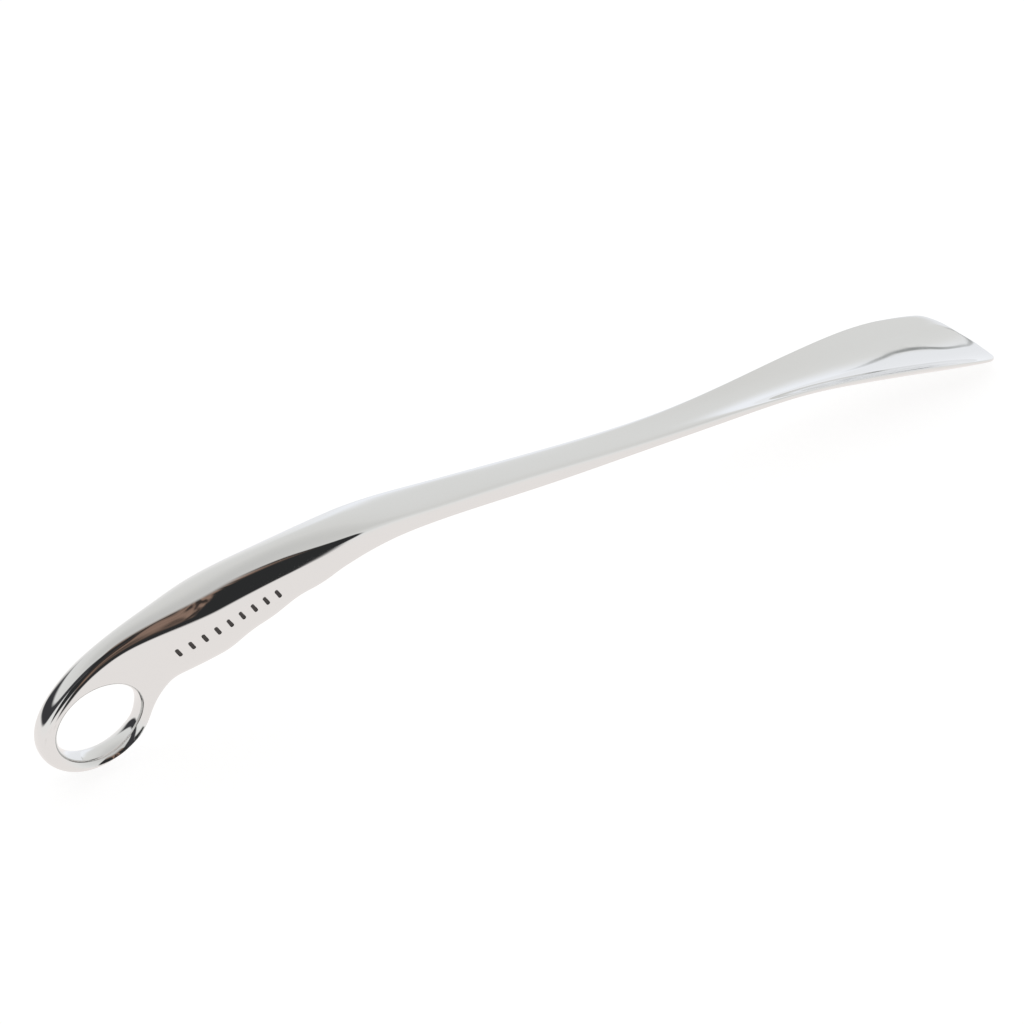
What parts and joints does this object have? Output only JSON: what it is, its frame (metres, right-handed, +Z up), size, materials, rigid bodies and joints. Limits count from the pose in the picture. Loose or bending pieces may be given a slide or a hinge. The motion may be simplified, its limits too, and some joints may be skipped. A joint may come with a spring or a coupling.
{
  "type": "long shoehorn",
  "caption": "Long one-piece polished metal shoehorn with a finger ring, a rounded grip with finger grooves, a flat shank and a wide troughed blade.",
  "frame": {"origin": "under the middle of the length, at the height of the blade's lowest point; the ring's lowest point is 0.4 mm higher", "axes": "+X from the ring to the blade's tip, +Y across, away from the marked side of the grip, +Z up towards the spine of the grip and the open side of the trough"},
  "size_m": [0.4234, 0.0404, 0.0575],
  "materials": {
    "plated_metal": "polished casting with bright plating all over",
    "dark_enamel": "dark enamel filled into shallow engraving, just below the surface"
  },
  "bodies": {
    "root": {"shoehorn_casting": "plated_metal", "mark_infill_1": "dark_enamel", "mark_infill_2": "dark_enamel", "mark_infill_3": "dark_enamel", "mark_infill_4": "dark_enamel", "mark_infill_5": "dark_enamel", "mark_infill_6": "dark_enamel", "mark_infill_7": "dark_enamel", "mark_infill_8": "dark_enamel", "mark_infill_9": "dark_enamel"}
  },
  "joints": []
}
